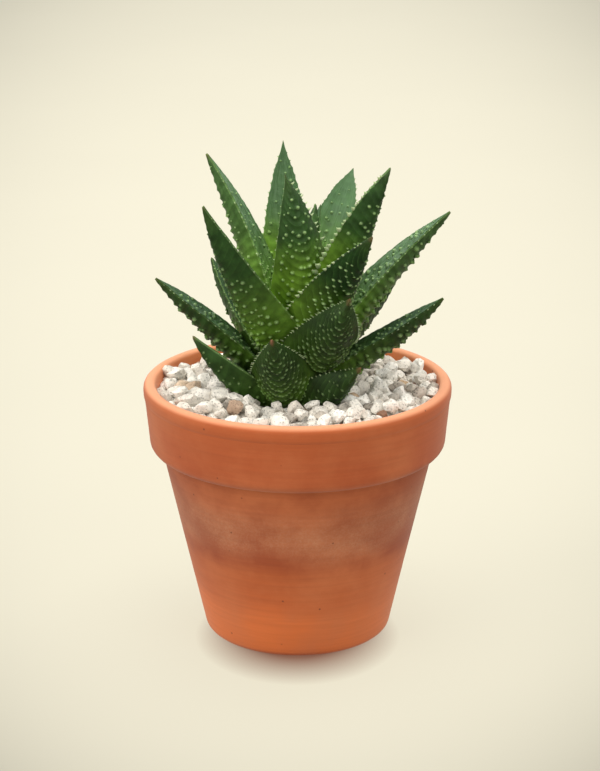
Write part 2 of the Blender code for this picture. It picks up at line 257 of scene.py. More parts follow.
def paperMaterial(settings):
    material, shader, add, place, noises = startMaterial("mattCreamPaper", settings["patterns"])
    deep = add("SeparateXYZ", {0: place}).outputs["Y"]
    # paper has a faint cloudiness and a very fine tooth
    cloudShare = add("MapRange", {0: noises["cloud"], 1: 0.3, 2: 0.7, 3: 0.99, 4: 1.0})
    # a painted pool of light that narrows toward the near end and fades at its rim
    width = add("Math", {0: deep, 1: settings["widens"]}, **asProduct)
    width = add("Math", {0: width, 1: settings["widthHere"]}, operation="ADD")
    width = add("Math", {0: width, 1: settings["narrowest"]}, operation="MAXIMUM")
    spread = add("Math", {0: 1.0, 1: width}, operation="DIVIDE")
    pool = add("Mapping", {
        "Vector": place, "Location": (0, settings["poolShift"], 0), "Scale": settings["poolStretch"]})
    pool = add("VectorMath", {0: pool, "Scale": spread}, operation="SCALE")
    away = add("VectorMath", {0: pool}, operation="LENGTH")
    dimmed = add("Math", {0: away, 1: settings["poolPower"]}, operation="POWER")
    dimmed = add("Math", {0: dimmed, 1: settings["poolDims"]}, operation="MINIMUM")
    paintedPoolShare = add("Math", {0: 1.0, 1: dimmed}, operation="SUBTRACT")
    # painted light: the far floor is brightened
    paintedFarLight = add("MapRange", {0: deep, **dict(enumerate(settings["paintedFarLight"], 1))})
    # a painted contact shadow at the foot, drawn out toward the front
    halfX, halfY = settings["shadeHalf"]
    forward = settings["shadeFront"] / halfY
    foot = add("Mapping", {"Vector": place, "Location": (0, forward, 0), "Scale": (1 / halfX, 1 / halfY, 0)})
    beyond = add("VectorMath", {0: foot}, operation="LENGTH")
    paintedShadowShare = add("MapRange", {0: beyond, **dict(enumerate(settings["shadeFade"], 1))})
    paper = layCoats(add, settings["colour"], [
        ([paintedShadowShare], settings["shade"], asColour),
        ([1.0], cloudShare, asFilter), ([1.0], paintedPoolShare, asFilter), ([1.0], paintedFarLight, asFilter)])
    fillInputs(shader, {
        "Base Color": add("Mix", {0: 1.0, 6: paper, 7: (settings["reflects"],) * 3 + (1,)}, **asFilter),
        # the paper's glow is painted light: it glows though it is no lamp
        "Emission Color": paper, "Emission Strength": settings["glow"],
        "Normal": add("Bump", {"Height": noises["tooth"], "Strength": 0.15, "Distance": 0.05 * mm}),
        "Roughness": 0.85, "Specular IOR Level": 0.2,
    })
    return material


def makeFloor(settings):
    bm = bmesh.new()
    bmesh.ops.create_circle(bm, cap_ends=True, segments=96, radius=settings["radius"])
    mesh = meshFrom(bm, "paperFloor")
    mesh.materials.append(paperMaterial(settings))
    floor = placeObject("paperFloor", mesh)


makeFloor(floorSet)
print("floor laid")


# pot: pressed earthenware, unglazed

potSet = {
    # outline from the drain hole round the foot, up the outside, over the lip and down the inside
    "corners": [
        (6.5, 0, 0.6), (32.3, 0, 2.6), (47.4, 66.9, 0.7), (51.4, 67.9, 2.4), (53.05, 85.0, 1.0),
        (53.1, 85.6, 0.4), (53.5, 86.5, 0.6), (53.7, 91.3, 2.5),
        (49.5, 91.3, 1.4), (47.2, 71.9, 1.0), (42.9, 65.9, 1.0), (28.5, 6, 2.0), (6.5, 6, 0.6),
    ],
    "steps": 144, "pitch": 1.6,
    "waver": 0.10 * mm, "waverScale": 22,           # how far the pressed wall strays from round
    "throwLine": 0.045 * mm, "throwScale": 420,
    # clay colours from the foot up, as shares of clayTop, which the drift moves up and down
    "clay": [
        (0.08, "#c26531"), (0.215, "#bf6230"), (0.275, "#ab5428"), (0.385, "#a35026"), (0.425, "#8f4120"),
        (0.60, "#944a28"), (0.715, "#90421f"), (0.75, "#a24d27"), (0.95, "#ab552b")],
    "clayTop": 102.3 * mm, "drift": 14 * mm,
    # inside is painted light on the inner wall; the lip colour is a painted highlight
    "patch": "#b4653d", "salt": "#b08468", "inside": "#d07c4a", "lip": "#eaab84", "grit": "#5a2f1d",
    "saltMost": 0.50, "saltRise": (43 * mm, 52 * mm), "saltFall": (70 * mm, 56 * mm),
    "paintedLipHighlightRise": (89.7 * mm, 91.2 * mm, 0.0, 0.6), "gritRare": 0.70,
    "patterns": {
        "drift": (35.7, 3.0, 0.55), "patch": (33.3, 5.0, 0.62), "cloud": (16.7, 5.0, 0.65),
        "speckle": (0.667, 2.0, 0.5), "grain": (0.455, 3.0, 0.5)},
    "gritSize": 4.35, "lineLength": 25.0, "lineWidth": 1.11,      # mm
}


def earthenwareMaterial(settings):
    # fired earthenware: matt and slightly grainy, orange where clean, with a whitish bloom of salts in a
    # cloudy ring below the rim, where the wall dries
    material, shader, add, place, noises = startMaterial("firedEarthenware", settings["patterns"])
    height = add("SeparateXYZ", {0: place}).outputs["Z"]
    shifted = add("Math", {0: noises["drift"], 1: settings["drift"]}, **asProduct)
    level = add("Math", {0: height, 1: shifted}, operation="ADD")
    clayShare = add("MapRange", {0: level, 1: 0.0, 2: settings["clayTop"]})
    # broad, soft patches from the kiln
    patchShare = add("MapRange", {0: noises["patch"], 1: 0.42, 2: 0.66, 3: 0.0, 4: 0.75})
    # salts: a ring at 40 to 60 mm, broken up and speckled
    rise, fall, paintedLipHighlightShare = (
        add("MapRange", {0: source, **dict(enumerate(settings[part], 1))}, **asSmooth)
        for source, part in ((level, "saltRise"), (level, "saltFall"), (height, "paintedLipHighlightRise")))
    cloudShare = add("MapRange", {0: noises["cloud"], 1: 0.34, 2: 0.70, 3: 0.30, 4: 1.0})
    speckleShare = add("MapRange", {0: noises["speckle"], 1: 0.42, 2: 0.66, 3: 0.55, 4: 1.05})
    # dark pits of burnt-out grit, a fraction of a millimetre wide
    grit = add("TexVoronoi", {"Vector": place, "Scale": scaleOf(settings["gritSize"]), "Randomness": 1.0})
    pit = add("MapRange", {0: grit, 1: 0.05, 2: 0.11, 3: 0.75, 4: 0.0})
    rare = add("SeparateColor", {0: grit.outputs["Color"]})
    rare = add("Math", {0: rare, 1: settings["gritRare"]}, operation="GREATER_THAN")
    # faint lines from the turning press, drawn out round the pot
    across, along = scaleOf(settings["lineLength"]), scaleOf(settings["lineWidth"])
    stretch = add("Mapping", {"Vector": place, "Scale": (across, across, along)})
    lines = add("TexNoise", {"Vector": stretch, "Scale": 1.0, "Detail": 3.0})
    colour = layCoats(add, add("ValToRGB", {0: clayShare}, stops=settings["clay"]), [
        ([patchShare], settings["patch"], asColour),
        ([rise, fall, cloudShare, speckleShare, settings["saltMost"]], settings["salt"], asColour),
        # the inside wall is painted lighter, as painted light, and the top of the lip gets a painted
        # highlight
        ([add("Attribute", {}, attribute_name="inside").outputs["Fac"]], settings["inside"], asColour),
        ([paintedLipHighlightShare], settings["lip"], asColour),
        ([pit, rare], settings["grit"], asColour),
        ([1.0], add("MapRange", {0: lines, 1: 0.3, 2: 0.7, 3: 0.95, 4: 1.05}), asFilter),
    ])
    relief = add("Bump", {"Height": noises["grain"], "Strength": 0.35, "Distance": 0.06 * mm})
    relief = add("Bump", {"Height": lines, "Normal": relief, "Strength": 0.3, "Distance": 0.10 * mm})
    fillInputs(shader, {
        "Base Color": colour, "Normal": relief,
        "Roughness": add("MapRange", {0: noises["patch"], 1: 0.3, 2: 0.7, 3: 0.72, 4: 0.86}),
        "Specular IOR Level": 0.25, "Sheen Weight": 0.12, "Sheen Roughness": 0.5,
    })
    return material


def makePot(settings):
    bm = turnedForm(settings["corners"], settings["steps"], settings["pitch"])
    # inside marks the inward faces, which the material paints lighter: painted light on the inner wall
    inside = bm.verts.layers.float.new("inside")
    bm.normal_update()
    for vert in bm.verts:
        outward = Vector((vert.co.x, vert.co.y, 0)).normalized()
        vert[inside] = limited(-vert.normal.dot(outward) * 1.5)
        stray = noise.noise(vert.co * settings["waverScale"]) * settings["waver"]
        stray += noise.noise(Vector((7, 3, vert.co.z * settings["throwScale"]))) * settings["throwLine"]
        vert.co += outward * stray
    finishPiece(bm, "clayPot", earthenwareMaterial(settings), "clay", ["pot"], sharpAngle=50)


makePot(potSet)
print("pot turned")


# soil: a moist peat and bark mix, under the gravel

soilSet = {
    "corners": [(0, 6.3, 0), (27.9, 6.3, 0), (42.3, 65.9, 0), (45.4, 70.3, 0), (5.9, 70.3, 0), (5.9, 47.7, 0),
                (0, 47.7, 0)],
    "steps": 48, "pitch": 2.4, "crumb": 0.35 * mm, "crumbScale": 260, "top": 69 * mm, "edge": 44 * mm,
    "crumbSize": 2.38,      # mm
    "colours": [(0.0, "#241811"), (0.6, "#3a281c"), (0.93, "#54402e"), (1.0, "#8a745a")],
}


def pottingMixMaterial(settings):
    # peat and bark crumbs: dark brown, matt, with paler fibres
    material, shader, add, place, _ = startMaterial("pottingMix", {})
    crumbs = add("TexVoronoi", {"Vector": place, "Scale": scaleOf(settings["crumbSize"])})
    shade = add("SeparateColor", {0: crumbs.outputs["Color"]})
    fillInputs(shader, {
        "Base Color": add("ValToRGB", {0: shade}, stops=settings["colours"]),
        "Normal": add("Bump", {"Height": crumbs, "Strength": 0.8, "Distance": 0.6 * mm}),
        "Roughness": 0.95,
    })
    return material


def makeSoil(settings):
    bm = turnedForm(settings["corners"], settings["steps"], settings["pitch"])
    for vert in bm.verts:
        if vert.co.z > settings["top"] and Vector(vert.co.xy).length < settings["edge"]:
            vert.co.z -= abs(noise.noise(vert.co * settings["crumbScale"])) * settings["crumb"]
    finishPiece(bm, "pottingMixPlug", pottingMixMaterial(settings), "soil", ["soil"], sharpAngle=40)


makeSoil(soilSet)
print("soil filled")


# leaves: one settings row each, oldest first; the form is the CAD's, the skin is finer

leafSet = {
    "firstSeat": 86.8 * mm, "seatPitch": 1.2 * mm, "stemRadius": 5.6 * mm, "stemTop": 2.2 * mm,
    "taperFrom": 86.3 * mm, "taperTo": 122.3 * mm, "gap": 0.3 * mm,
    "margin": 0.8 * mm, "channel": 0.14, "depth": 0.40,
    "baseWide": 0.70, "fullFrom": 0.18, "taper": 1.7,        # breadth at the seat, where it is full, its fall
    "pointFrom": 0.82, "pointIn": 0.35,                     # the last stretch draws in to a spike
    "keelFull": 0.25, "keelFall": 2.2, "keelRound": 0.9,
    "faceColumns": 20, "edgeColumns": 5, "rowLength": 0.6 * mm,
    "waver": 0.16 * mm, "waverScale": 190,
    "upperRelief": 0.4, "crestWidth": 0.22, "rowsFrom": 4.0,
}
tubercleSet = {
    "spread": 0.94, "outermost": 0.84, "run": (0.03, 0.975), "clumpTurn": 1.35, "clumping": 0.35,
    "sizes": (0.6, 1.3), "tipSmaller": 0.35, "height": 1.2, "upperSize": 0.85, "upperLift": 0.5,
}
toothSet = {
    "from": 0.07, "to": 0.94, "gaps": (0.55, 1.5), "tipCloser": 0.35,
    "baseSize": 1.15, "tipSmaller": 0.80, "sizes": (0.6, 1.2), "fullWidth": 18 * mm,
    "forward": 0.22, "stand": 0.25 * mm, "thick": 0.48, "height": 1.45,
    "swell": 0.45 * mm, "swellReach": 2.4 * mm, "swellWidth": 0.95 * mm,     # of the margin at a tooth
}

# how the tubercles lie: rows across the leaf, rowBend bows them toward the tip at the margins, all in mm;
# rowShow is how strongly the rows stand out in painted light and shade and in relief
skinColumns = (
    "rowPitch", "dotPitch", "keep", "dotSize", "dotStretch", "rowBend", "ridge", "rowShow", "dotPale",
    "innerKeep", "tipClear", "jitter", "toothPitch", "toothSize", "toothPale", "toothWide", "olive", "fibre",
)
skins = {name: dict(zip(skinColumns, row)) for name, row in {
    "scaly": (2.7, 0.90, 0.90, 0.35, 1.60, 10.5, 0.42, 0.40, 0.38,
              1.00, 0.00, 0.20, 1.7, 1.05, 0.50, 0.45, 1.0, 0.60),
    "banded": (3.7, 0.86, 0.92, 0.40, 1.50, 12.0, 0.50, 0.58, 0.85,
               0.50, 0.30, 0.14, 2.5, 1.60, 0.62, 0.62, 0.0, 0.50),
    "spotted": (3.0, 1.40, 0.68, 0.50, 1.10, 5.5, 0.30, 0.16, 0.62,
                0.70, 0.40, 0.80, 3.0, 1.00, 0.42, 0.80, 0.0, 0.50),
    "bumpy": (3.3, 1.60, 0.82, 0.76, 1.20, 3.0, 0.54, 0.17, 0.54,
              1.10, 0.05, 0.80, 3.2, 1.10, 0.24, 1.00, 0.5, 1.00),
    "sparse": (3.1, 1.50, 0.85, 0.46, 1.10, 3.0, 0.26, 0.10, 0.42,
               1.00, 0.15, 1.00, 2.6, 0.75, 0.25, 0.90, 0.3, 0.50),
    "smooth": (3.6, 2.00, 0.66, 0.58, 1.00, 3.0, 0.28, 0.08, 0.42,
               1.25, 0.10, 1.00, 3.2, 0.80, 0.40, 0.90, 0.0, 0.35),
    "dotted": (2.8, 1.50, 0.76, 0.56, 1.10, 6.0, 0.34, 0.22, 0.72,
               0.70, 0.20, 0.30, 3.0, 1.70, 0.95, 0.75, 0.0, 0.50),
    "bright": (3.1, 1.30, 0.72, 0.47, 1.15, 4.0, 0.42, 0.16, 0.66,
               0.50, 0.10, 0.70, 3.1, 1.10, 0.35, 1.00, 0.0, 0.80),
}.items()}
skins["dotted"]["leftTooth"] = 0.35      # a factor for the teeth of the left margin
skins["toothed"] = {
    **skins["bright"], "toothPitch": 2.5, "toothPale": 0.9, "toothWide": 0.7, "leftTooth": 1.8,
    "rightTooth": 0.8}

# seat and tip directions in degrees, lift at the seat, how far along the bend is, reach, tip height and
# width in mm, twist, skin, age (0 young and bright, 1 old and dark), heart (how much the base glows
# yellow-green), tip colour (0 brown, 1 red)
leafColumns = (
    "seatWay", "lift", "bendAt", "tipWay", "reach", "tipHeight", "width", "twist", "skin", "age", "heart",
    "tipRed",
)
leaves = {node: dict(zip(leafColumns, row)) for node, row in {
    "leaf_left_low": (214, 23, 0.47, 206, 39.5, 112.1, 18.9, -17, "sparse", 0.82, 0.1, 0.6),
    "leaf_back_low": (100, 30, 0.50, 98, 41.0, 112.0, 22.0, 0, "spotted", 1.0, 0.1, 0.6),
    "leaf_front_low_right": (294, 10, 0.46, 312, 32.2, 102.9, 24.5, 33, "scaly", 1.0, 0.1, 1.0),
    "leaf_front_low_left": (254, 36, 0.59, 255, 33.6, 115.3, 26.5, -20, "scaly", 0.95, 0.2, 1.0),
    "leaf_back_low_right": (66, 32, 0.50, 62, 42.0, 113.0, 21.5, 0, "scaly", 1.0, 0.1, 0.7),
    "leaf_left_long": (193, 45, 0.50, 194, 49.4, 130.7, 19.4, 14, "bumpy", 0.90, 0.2, 0.1),
    "leaf_right_low": (346, 32, 0.55, 340, 52.1, 125.4, 18.7, -11, "bumpy", 0.92, 0.2, 0.3),
    "leaf_back_low_left": (134, 34, 0.50, 138, 34.5, 113.0, 21.5, 0, "spotted", 0.95, 0.1, 0.5),
    "leaf_right_behind": (22, 43, 0.49, 22, 37.5, 123.7, 18.0, -1, "spotted", 0.9, 0.2, 0.2),
    "leaf_back_left": (152, 42, 0.51, 148, 35.7, 129.9, 19.0, -2, "spotted", 0.8, 0.2, 0.1),
    "leaf_back_right": (42, 40, 0.50, 38, 37.0, 122.0, 21.5, 0, "scaly", 0.9, 0.2, 0.4),
    "leaf_back_mid_right": (78, 50, 0.50, 74, 40.0, 137.0, 23.5, 0, "spotted", 0.85, 0.3, 0.3),
    "leaf_right_long": (8, 55, 0.51, 358, 51.8, 151.3, 22.0, -2, "bumpy", 0.52, 0.30, 0.1),
    "leaf_front_right": (296, 28, 0.62, 296, 39.5, 130.3, 27.0, 41, "scaly", 1.0, 0.1, 1.0),
    "leaf_left_front": (235, 52, 0.51, 225, 43.6, 160.2, 24.9, 28, "spotted", 0.88, 0.35, 0.1),
    "leaf_back_mid": (120, 52, 0.50, 118, 38.0, 138.0, 23.5, 0, "spotted", 0.8, 0.4, 0.2),
    "leaf_right_front": (297, 57, 0.60, 306, 41.6, 150.7, 27.5, -11, "banded", 0.98, 0.50, 0.6),
    "leaf_upper_left": (170, 80, 0.51, 180, 30.7, 171.0, 21.8, -4, "bright", 0.38, 0.6, 0.3),
    "leaf_upper_back": (76, 66, 0.52, 78, 27.0, 146.0, 22.0, 0, "spotted", 0.7, 0.6, 0.1),
    "leaf_upper_right": (328, 67, 0.56, 330, 35.5, 170.2, 22.8, 23, "toothed", 0.82, 1.2, 0.1),
    "leaf_upper_front": (283, 73, 0.53, 253, 14.5, 167.2, 23.2, 0, "dotted", 0.80, 1.05, 0.0),
    "leaf_upper_back_left": (144, 66, 0.52, 142, 27.0, 148.0, 21.5, 0, "spotted", 0.7, 0.6, 0.1),
    "leaf_upper_back_right": (49, 64, 0.68, 54, 33.4, 160.0, 22.2, -23, "smooth", 0.55, 0.6, 0.1),
    "leaf_tall_back": (104, 59, 0.55, 103, 22.1, 171.1, 21.4, 4, "smooth", 0.20, 1.3, 0.1),
    "leaf_heart_pale": (60, 82, 0.50, 30, 9.2, 152.5, 9.5, 0, "sparse", 0.0, 1.0, 0.0),
    "leaf_heart": (330, 84, 0.57, 340, 6.4, 154.3, 9.8, 8, "sparse", 0.3, 1.0, 0.1),
}.items()}


def compass(degrees):
    return Vector((math.cos(math.radians(degrees)), math.sin(math.radians(degrees)), 0))


def stemRadius(height):
    share = limited((height - leafSet["taperFrom"]) / (leafSet["taperTo"] - leafSet["taperFrom"]))
    return leafSet["stemRadius"] + (leafSet["stemTop"] - leafSet["stemRadius"]) * share


class LeafForm:
    # the leaf's spine is a quadratic curve, and its section a channelled top over a keeled underside

    def __init__(self, leaf, order):
        self.seatWay = leaf["seatWay"]
        self.twist = leaf["twist"]
        self.width = leaf["width"] * mm
        seat = leafSet["firstSeat"] + order * leafSet["seatPitch"]
        outward = compass(self.seatWay)
        self.start = outward * (stemRadius(seat) + leafSet["gap"]) + Vector((0, 0, seat))
        self.tip = compass(leaf["tipWay"]) * leaf["reach"] * mm + Vector((0, 0, leaf["tipHeight"] * mm))
        climb = math.radians(leaf["lift"])
        self.length = (self.tip - self.start).length
        upward = outward * math.cos(climb) + Vector((0, 0, math.sin(climb)))
        self.bend = self.start + upward * self.length * leaf["bendAt"]

    def direction(self, along):
        return ((self.bend - self.start) * (1 - along) + (self.tip - self.bend) * along).normalized()

    def axes(self, along):
        direction = self.direction(along)
        level = Vector((math.sin(math.radians(self.seatWay)), -math.cos(math.radians(self.seatWay)), 0))
        level = (level - direction * level.dot(direction)).normalized()
        turn = math.radians(self.twist * along)
        sideways = level * math.cos(turn) + level.cross(direction) * math.sin(turn)
        return direction, sideways, sideways.cross(direction)

    def halfWidth(self, along):
        rise = min(1, along / leafSet["fullFrom"])
        point = max(0, (along - leafSet["pointFrom"]) / (1 - leafSet["pointFrom"]))
        base = leafSet["baseWide"] + (1 - leafSet["baseWide"]) * rise * rise * (3 - 2 * rise)
        return self.width / 2 * base * (1 - along ** leafSet["taper"]) * (1 - leafSet["pointIn"] * point)

    def section(self, across, upper, along):
        if upper:
            return leafSet["margin"] / 2 - self.width * leafSet["channel"] * (1 - along) * (1 - across ** 2)
        base = leafSet["baseWide"] + (1 - leafSet["baseWide"]) * min(1, along / leafSet["keelFull"])
        fall = (1 - along ** leafSet["keelFall"]) ** leafSet["keelRound"]
        return -leafSet["margin"] / 2 - self.width * leafSet["depth"] * base * fall * (1 - across ** 2)

    def point(self, along, across, upper, bulge=0.0, edge=0.0):
        # bulge rounds the thin margin, where edge runs from 1 on the upper face to -1 on the lower
        if along >= 1:
            return self.tip.copy()
        direction, sideways, inward = self.axes(along)
        spine = self.start * (1 - along) ** 2 + self.bend * (2 * along * (1 - along)) + self.tip * along ** 2
        rise = edge * leafSet["margin"] / 2 if bulge else self.section(across, upper, along)
        half = self.halfWidth(along)
        return spine + sideways * (across * half + math.copysign(bulge, across)) + inward * rise

    def normal(self, along, across, upper):
        step = 0.01
        ahead = self.point(min(0.995, along + step), across, upper) - self.point(along - step, across, upper)
        right = self.point(along, min(1, across + step), upper)
        facing = ahead.cross(right - self.point(along, max(-1, across - step), upper)).normalized()
        inward = self.axes(along)[2]
        return facing if (facing.dot(inward) > 0) == upper else -facing


def smallForm(name, rings, segments, tipLean=0.0):
    # a closed little form on rings of (radius, height, pale), drawn in to a point; kept as a mesh to copy
    bm = bmesh.new()
    pale = bm.verts.layers.float.new("pale")
    base = bmesh.ops.create_circle(bm, cap_ends=True, segments=segments, radius=rings[0][0])
    for vert in base["verts"]:
        vert.co.z = rings[0][1]
        vert[pale] = rings[0][2]
    cap = bm.faces[:][0]
    for radius, height, value in rings[1:]:
        made = bmesh.ops.extrude_face_region(bm, geom=[cap])["geom"]
        bmesh.ops.delete(bm, geom=[cap], context="FACES_ONLY")
        cap = [item for item in made if isinstance(item, bmesh.types.BMFace)][0]
        before = cap.verts[0].co.xy.length
        for vert in cap.verts:
            vert.co.x *= radius / before
            vert.co.y *= radius / before
            vert.co.z = height
            vert[pale] = value
    bmesh.ops.holes_fill(bm, edges=[edge for edge in bm.edges if edge.is_boundary])
    for vert in bm.verts:
        vert.co.x += tipLean * max(0, vert.co.z) ** 2
    bmesh.ops.recalc_face_normals(bm, faces=bm.faces)
    return meshFrom(bm, name)


tubercleForm = smallForm("tubercleForm", [
    (1.75, -0.45, 0.0), (1.65, -0.04, 0.1), (1.08, 0.24, 0.55), (0.74, 0.68, 1.0), (0.28, 0.97, 1.0)], 8)
toothForm = smallForm("toothForm", [
    (1.0, -0.45, 0.2), (0.85, 0.0, 0.5), (0.55, 0.38, 1.0), (0.26, 0.75, 1.0), (0.04, 1.05, 1.0)],
    8, tipLean=0.55)


class Planter:
    # sets copies of a small form on a piece, each with its own place, size and colour values

    def __init__(self, bm, form):
        self.bm = bm
        self.mesh = form.copy()
        self.count = len(form.vertices)
        self.rest = np.empty(self.count * 3, np.float32)
        form.vertices.foreach_get("co", self.rest)

    def put(self, place, axes, values):
        # axes are the three directions of the copy, each as long as the copy is large that way
        matrix = Matrix([(*axis, 0) for axis in axes] + [(0, 0, 0, 1)]).transposed()
        self.mesh.vertices.foreach_set("co", self.rest)
        self.mesh.transform(Matrix.Translation(place) @ matrix)
        for name, value in values.items():
            layer = self.mesh.attributes.get(name) or self.mesh.attributes.new(name, "FLOAT", "POINT")
            layer.data.foreach_set("value", np.full(self.count, value, np.float32))
        self.bm.from_mesh(self.mesh)

    def done(self):
        bpy.data.meshes.remove(self.mesh)


def rowAlong(form, skin, number, across):
    # where row number crosses this part of the leaf, 0 at the seat and 1 at the tip
    run = leafSet["rowsFrom"] + number * skin["rowPitch"] + skin["rowBend"] * across ** 2
    return run * mm / form.length


def setTubercles(bm, form, skin, looks, chance):
    planter = Planter(bm, tubercleForm)
    spread = tubercleSet["spread"]
    lowest, highest = tubercleSet["run"]
    for upper in (False, True):
        first = -int(skin["rowBend"] / skin["rowPitch"]) - 1
        for number in range(first, int(form.length / mm / skin["rowPitch"]) + 1):
            middle = min(0.98, max(0.06, rowAlong(form, skin, number, 0.6)))
            half = form.halfWidth(middle) / mm
            places = int(2 * half * spread / skin["dotPitch"])
            shift = chance.uniform(-0.4, 0.4)
            clump = chance.uniform(0, math.tau)
            for place in range(places + 1):
                loose = chance.uniform(-1, 1) * skin["jitter"] / max(1, half)
                across = -spread + 2 * spread * (place + shift) / max(1, places) + loose
                along = rowAlong(form, skin, number, across)
                along += chance.uniform(-1, 1) * skin["jitter"] * mm / form.length
                keep = skin["innerKeep"] * (0.35 + 0.65 * abs(across)) if upper else skin["keep"]
                wave = math.sin(place * tubercleSet["clumpTurn"] + clump)
                keep *= 1.0 + tubercleSet["clumping"] * wave * skin["jitter"] / 0.4
                if abs(across) > tubercleSet["outermost"]:
                    continue
                if not lowest < along < highest - skin["tipClear"] * chance.random():
                    continue
                if chance.random() > keep:
                    continue
                normal = form.normal(along, across, upper)
                ahead = (form.direction(along) - normal * form.direction(along).dot(normal)).normalized()
                size = skin["dotSize"] * mm * chance.uniform(*tubercleSet["sizes"])
                size *= 1.0 - tubercleSet["tipSmaller"] * along
                lift = skin["ridge"] * mm * 0.6
                if upper:
                    size *= tubercleSet["upperSize"]
                    lift *= tubercleSet["upperLift"]
                axes = (
                    ahead * size, normal.cross(ahead) * size * skin["dotStretch"],
                    normal * size * tubercleSet["height"],
                )
                planter.put(form.point(along, across, upper) + normal * lift, axes, {
                    "grow": along, "upper": float(upper), "across": across, "rowPhase": 0.1,
                    "dotPale": skin["dotPale"] * chance.uniform(0.55, 1.0), **looks})
    planter.done()


def toothScale(skin, way):
    # the factor for the teeth of one margin, left or right as seen from the front
    return skin["toothSize"] * skin.get("leftTooth" if way > 0 else "rightTooth", 1)


def placeTeeth(form, skin, chance):
    # both margins' teeth, as (side, place along the leaf), closer together toward the tip
    teeth = []
    for way in (-1, 1):
        along = toothSet["from"] + chance.uniform(0, 0.03)
        while along < toothSet["to"]:
            teeth.append((way, along))
            gap = skin["toothPitch"] * chance.uniform(*toothSet["gaps"]) * mm / form.length
            along += gap * (1.0 - toothSet["tipCloser"] * along)
    return teeth


def setTeeth(bm, form, skin, looks, teeth, chance):
    planter = Planter(bm, toothForm)
    for way, along in teeth:
        direction, sideways, inward = form.axes(along)
        size = (toothSet["baseSize"] - toothSet["tipSmaller"] * along) * mm
        size *= chance.uniform(*toothSet["sizes"]) * toothScale(skin, way)
        size *= min(1, form.width / toothSet["fullWidth"])
        out = (sideways * way + direction * toothSet["forward"]).normalized()
        ahead = (direction - out * direction.dot(out)).normalized()
        stand = sideways * way * toothSet["stand"] * toothScale(skin, way)
        edge = form.point(along, way, True) + stand - inward * leafSet["margin"] / 2
        axes = (
            ahead * size * skin["toothWide"], out.cross(ahead) * size * toothSet["thick"],
            out * size * toothSet["height"],
        )
        planter.put(edge, axes, {
            "grow": along, "upper": 0.5, "edge": 1.0, "across": way, "rowPhase": 0.1,
            "dotPale": skin["toothPale"] * chance.uniform(0.6, 1.0), **looks})
    planter.done()


leafLayers = (
    "grow", "across", "upper", "edge", "pale", "dotPale", "rowPhase", "rowShow", "age", "heart", "tipRed",
    "olive", "fibre",
)


def marginSwell(form, skin, teeth, across, along):
    # how far the margin stands out toward the nearest tooth
    share = 0.0
    for way, place in teeth:
        if way * across > 0 and abs(place - along) * form.length < toothSet["swellReach"]:
            share = max(share, math.exp(-((place - along) * form.length / toothSet["swellWidth"]) ** 2))
    reach = toothSet["swell"] * skin["toothWide"] * toothScale(skin, across)
    return reach * share * min(1, 6 * (1 - along))


def growLeaf(node, leaf, order):
    form = LeafForm(leaf, order)
    skin = skins[leaf["skin"]]
    looks = {name: leaf.get(name, skin.get(name)) for name in ("age", "heart", "tipRed", "olive", "fibre")}
    chance = random.Random(node)
    bm = bmesh.new()
    layers = {name: bm.verts.layers.float.new(name) for name in leafLayers}
    teeth = placeTeeth(form, skin, chance)
    rows = round(form.length / leafSet["rowLength"])
    # the grid's columns go over the upper face, round one margin, over the lower face and round the other
    face, margin = leafSet["faceColumns"], leafSet["edgeColumns"]
    columns = 2 * (face + margin)
    bmesh.ops.create_grid(bm, x_segments=rows, y_segments=columns, size=0.5)
    lifts = []
    for vert in bm.verts:
        along = min(1, vert.co.x + 0.5)
        column = round((vert.co.y + 0.5) * columns) % columns
        upper = column <= face
        inEdge = face < column < face + margin or column > columns - margin
        if inEdge:
            across = -1 if column < face + margin else 1
            middle = face + margin / 2 if across < 0 else columns - margin / 2
            edge = (middle - column) / (margin / 2) * -across
            bulge = leafSet["margin"] / 2 * math.sqrt(max(0, 1 - edge * edge)) * (1 - along)
            vert.co = form.point(along, across, upper, max(1e-7, bulge), edge)
            vert.co += form.axes(along)[1] * across * marginSwell(form, skin, teeth, across, along)
        else:
            turn = 1 - column / (face / 2) if upper else (column - face * 1.5 - margin) / (face / 2)
            across = math.sin(math.pi / 2 * turn)
            vert.co = form.point(along, across, upper)
            if abs(across) > 0.7:
                swell = marginSwell(form, skin, teeth, across, along)
                vert.co += form.axes(along)[1] * across ** 5 * swell
            run = along * form.length / mm - leafSet["rowsFrom"] - skin["rowBend"] * across ** 2
            phase = run / skin["rowPitch"]
            crest = math.exp(-((phase - round(phase)) / leafSet["crestWidth"]) ** 2)
            fade = (1 - across ** 6) * min(1, 6 * (1 - along)) * (leafSet["upperRelief"] if upper else 1.0)
            vert[layers["rowPhase"]] = phase + 20
            vert[layers["rowShow"]] = fade * skin["rowShow"]
            lifts.append((vert, crest * skin["ridge"] * mm * fade, along))
        for name, value in looks.items():
            vert[layers[name]] = value
        vert[layers["grow"]] = along
        vert[layers["upper"]] = 1.0 if upper else 0.0
        vert[layers["edge"]] = 1 - edge * edge if inEdge else 0.0
        vert[layers["across"]] = across
    bmesh.ops.remove_doubles(bm, verts=bm.verts, dist=1e-6)
    bmesh.ops.holes_fill(bm, edges=[edge for edge in bm.edges if edge.is_boundary])
    bmesh.ops.recalc_face_normals(bm, faces=bm.faces)
    bm.normal_update()
    for vert, ridge, along in lifts:
        if vert.is_valid and 0.02 < along < 0.98:
            stray = noise.noise(vert.co * leafSet["waverScale"]) * leafSet["waver"] * min(1, 5 * (1 - along))
            vert.co += vert.normal * (ridge + stray)
    setTubercles(bm, form, skin, looks, chance)
    setTeeth(bm, form, skin, looks, teeth, chance)
    for vert in bm.verts:
        vert.co.z = min(vert.co.z, cadHigh[2])      # the tallest leaf's skin stays below its own point
    return bm


